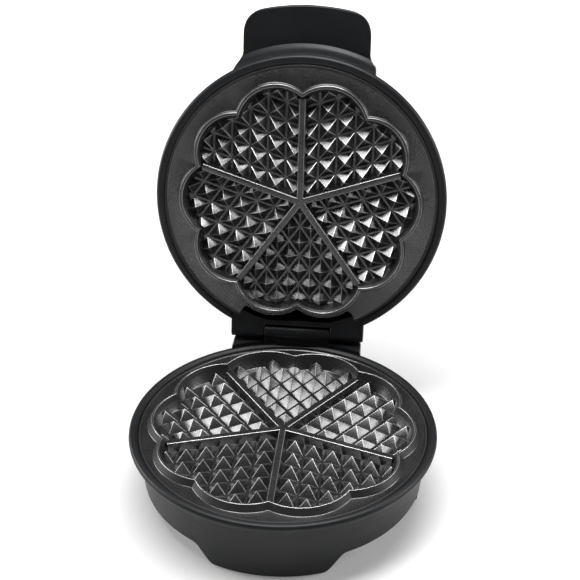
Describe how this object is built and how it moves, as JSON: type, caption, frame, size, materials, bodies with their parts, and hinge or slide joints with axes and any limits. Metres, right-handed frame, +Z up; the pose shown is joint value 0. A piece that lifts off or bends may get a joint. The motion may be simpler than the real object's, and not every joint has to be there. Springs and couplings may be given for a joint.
{
  "type": "waffle maker",
  "caption": "Round household waffle maker with a hinged lid, flat front grip and flower-shaped heart plates, shown open on three wide feet.",
  "frame": {"origin": "centre of the overall box in plan, at the table, with the lid open", "axes": "+X to the right seen from the grip side, +Y towards the hinge, +Z up"},
  "size_m": [0.22, 0.2894, 0.3077],
  "materials": {
    "housing": "satin moulded thermoset, near-black",
    "cover": "satin moulded thermoset, near-black",
    "bottom_plastic": "matt moulded plastic",
    "gland_rubber": "soft black rubber",
    "foot_rubber": "soft dark grey rubber",
    "baking_plate": "die-cast with a dark semi-gloss non-stick coating",
    "reflector_sheet": "bright pressed sheet",
    "element_steel": "oxidised stainless tube",
    "screw_steel": "zinc-plated steel",
    "clamp_steel": "zinc-plated strip",
    "spacer_aluminium": "turned",
    "pin_steel": "drawn bar",
    "thermostat_can": "drawn can",
    "fuse_can": "drawn can",
    "terminal_plastic": "off-white moulded",
    "lead_live": "brown silicone sleeve",
    "lead_neutral": "blue silicone sleeve",
    "lens_red": "tinted clear polycarbonate",
    "lens_green": "tinted clear polycarbonate",
    "bracket_plastic": "off-white moulded",
    "lamp_glass": "small neon bulb"
  },
  "bodies": {
    "base": {"base_housing": "housing", "bottom_cover": "bottom_plastic", "rear_cover": "housing", "cord_gland": "gland_rubber", "terminal_block": "terminal_plastic", "hinge_pin": "pin_steel", "foot_pad_front": "foot_rubber", "foot_pad_right": "foot_rubber", "foot_pad_left": "foot_rubber", "bottom_cover_screw_1": "screw_steel", "bottom_cover_screw_2": "screw_steel", "bottom_cover_screw_3": "screw_steel", "lower_plate_screw_1": "screw_steel", "lower_plate_screw_2": "screw_steel", "lower_plate_screw_3": "screw_steel", "rear_cover_screw_left": "screw_steel", "rear_cover_screw_right": "screw_steel", "thermostat": "thermostat_can", "thermal_fuse": "fuse_can", "base_lead_live": "lead_live", "base_lead_neutral": "lead_neutral", "lower_plate": "baking_plate", "lower_element": "element_steel", "lower_element_clamp": "clamp_steel", "lower_spacer": "spacer_aluminium", "lower_reflector": "reflector_sheet", "lower_clamp_screw": "screw_steel"},
    "lid": {"lid_frame": "housing", "lid_cover": "cover", "handle_top": "cover", "handle_underside": "cover", "upper_plate_screw_1": "screw_steel", "upper_plate_screw_2": "screw_steel", "upper_plate_screw_3": "screw_steel", "handle_screw_left": "screw_steel", "handle_screw_right": "screw_steel", "lens_red": "lens_red", "lens_green": "lens_green", "lamp_red": "lamp_glass", "lamp_green": "lamp_glass", "lamp_bracket": "bracket_plastic", "lid_lead_live": "lead_live", "lid_lead_neutral": "lead_neutral", "upper_plate": "baking_plate", "upper_element": "element_steel", "upper_element_clamp": "clamp_steel", "upper_spacer": "spacer_aluminium", "upper_reflector": "reflector_sheet", "upper_clamp_screw": "screw_steel"}
  },
  "joints": [
    {"name": "lid_hinge", "type": "hinge", "parent": "base", "child": "lid", "pos_m": [0, 0.07249, 0.0655], "axis": [1, 0, 0], "range_deg": [0, 101]}
  ]
}
